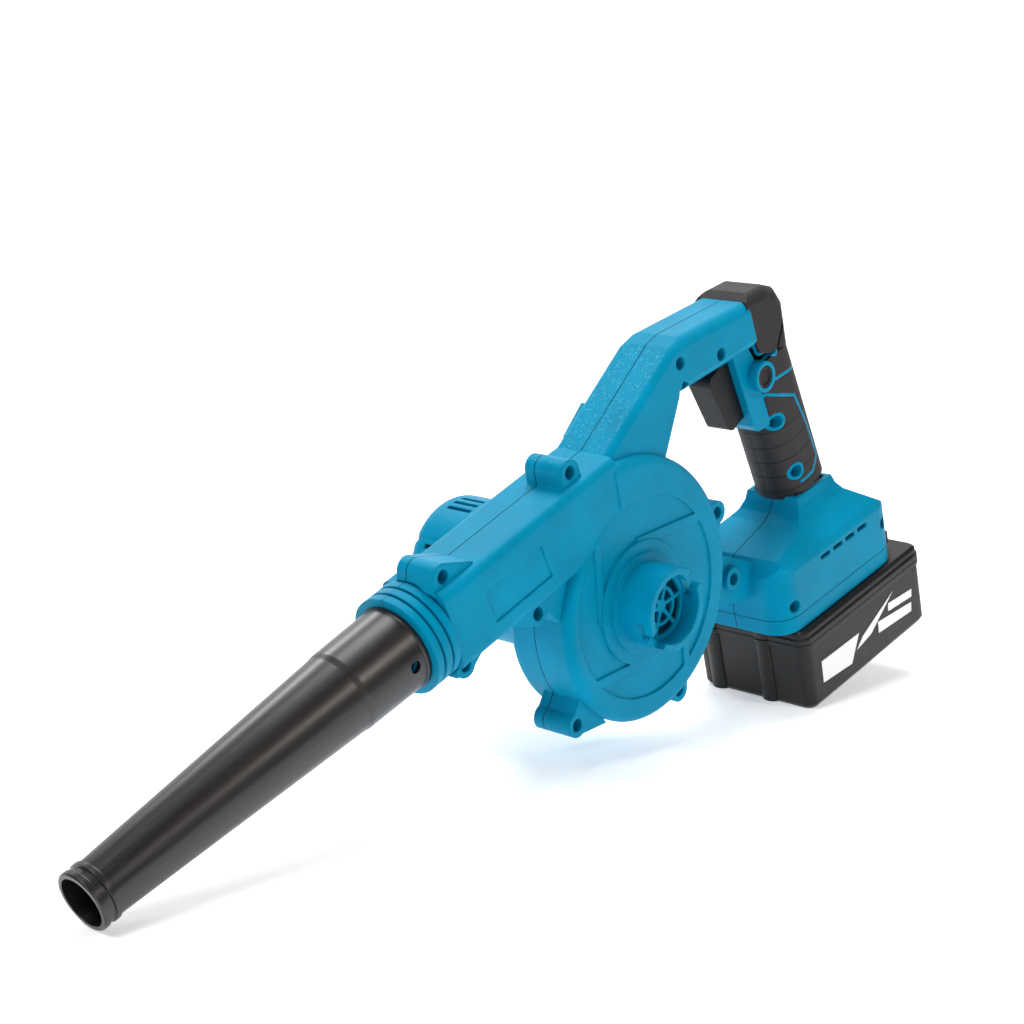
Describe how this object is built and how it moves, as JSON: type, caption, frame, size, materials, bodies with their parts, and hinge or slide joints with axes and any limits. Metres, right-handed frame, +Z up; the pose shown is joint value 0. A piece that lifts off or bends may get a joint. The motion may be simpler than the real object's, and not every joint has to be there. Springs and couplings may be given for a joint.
{
  "type": "cordless leaf blower",
  "caption": "Hand-held cordless blower with a round fan housing, side intake, tapered nozzle, pistol grip with trigger and slide-on battery.",
  "frame": {"origin": "on the ground, under the middle of the bounding box, with the blower resting on its nozzle rim and the battery edge", "axes": "+X from the nozzle tip back to the battery, -Y towards the intake side, +Z up"},
  "size_m": [0.5564, 0.1506, 0.226],
  "materials": {
    "housing_blue": "fine moulded texture",
    "nozzle_black": "satin black",
    "grip_rubber": "soft moulded",
    "trigger_black": "satin",
    "pack_black": "fine spark texture",
    "label_white": "printed",
    "fan_plastic": "glass-filled nylon",
    "screw_steel": "black zinc",
    "bright_steel": "ground",
    "laminations": "stacked sheet",
    "copper": "enamelled wire",
    "zinc_steel": "zinc plated",
    "ferrite": "sintered",
    "carbon": "pressed graphite",
    "seal_rubber": "matte",
    "board_green": "lacquered board",
    "contact_brass": "plated",
    "lead_red": "insulated lead",
    "cell_wrap": "shrink sleeve over a metal can",
    "holder_white": "moulded",
    "nickel": "strip"
  },
  "bodies": {
    "housing": {"housing_near": "housing_blue", "housing_far": "housing_blue", "motor_cover": "housing_blue", "outlet_collar": "housing_blue", "intake_guard": "housing_blue", "grip_near": "grip_rubber", "grip_far": "grip_rubber", "handle_cap": "grip_rubber", "housing_screws": "screw_steel", "cover_screws": "screw_steel", "motor_can": "zinc_steel", "magnets": "ferrite", "brush_plate": "trigger_black", "brushes": "carbon", "front_bearing": "bright_steel", "rear_bearing": "bright_steel", "motor_screws": "bright_steel", "motor_cushion": "seal_rubber", "trigger_spring": "bright_steel", "switch_body": "trigger_black", "lock_spring": "bright_steel", "speed_board": "board_green", "terminal_block": "trigger_black", "terminal_blades": "contact_brass", "wiring": "lead_red"},
    "nozzle": {"nozzle": "nozzle_black"},
    "rotor": {"impeller": "fan_plastic", "fan_nut": "bright_steel", "motor_shaft": "bright_steel", "armature": "laminations", "windings": "copper", "commutator": "copper"},
    "trigger": {"trigger": "trigger_black"},
    "lock": {"lock_button": "trigger_black"},
    "battery": {"battery_case": "pack_black", "case_ribs": "pack_black", "battery_cover": "pack_black", "battery_cells": "cell_wrap", "cell_holders": "holder_white", "cell_straps": "nickel", "battery_board": "board_green", "battery_contacts": "contact_brass", "battery_screws": "screw_steel", "release_spring": "bright_steel", "near_label": "label_white", "far_label": "label_white"},
    "release": {"release_button": "trigger_black"}
  },
  "joints": [
    {"name": "fan_spin", "type": "hinge", "parent": "housing", "child": "rotor", "pos_m": [0.04252, -0.0327, 0.08028], "axis": [0, -1, 0], "continuous": true},
    {"name": "nozzle_pull", "type": "slide", "parent": "housing", "child": "nozzle", "axis": [-0.9266, 0, -0.3761], "range_m": [0, 0.06]},
    {"name": "trigger_pull", "type": "slide", "parent": "housing", "child": "trigger", "axis": [0.806, 0, 0.5919], "range_m": [0, 0.006], "stiffness_N_per_m": 600, "springref_m": -0.002, "deforming": ["trigger_spring"]},
    {"name": "lock_press", "type": "slide", "parent": "housing", "child": "lock", "axis": [0, 1, 0], "range_m": [0, 0.0022], "stiffness_N_per_m": 500, "springref_m": -0.001, "deforming": ["lock_spring"]},
    {"name": "battery_slide", "type": "slide", "parent": "housing", "child": "battery", "axis": [0.9598, 0, 0.2805], "range_m": [0, 0.1]},
    {"name": "release_press", "type": "slide", "parent": "battery", "child": "release", "axis": [0.2805, 0, -0.9598], "range_m": [0, 0.003], "stiffness_N_per_m": 600, "springref_m": -0.001, "deforming": ["release_spring"]}
  ]
}
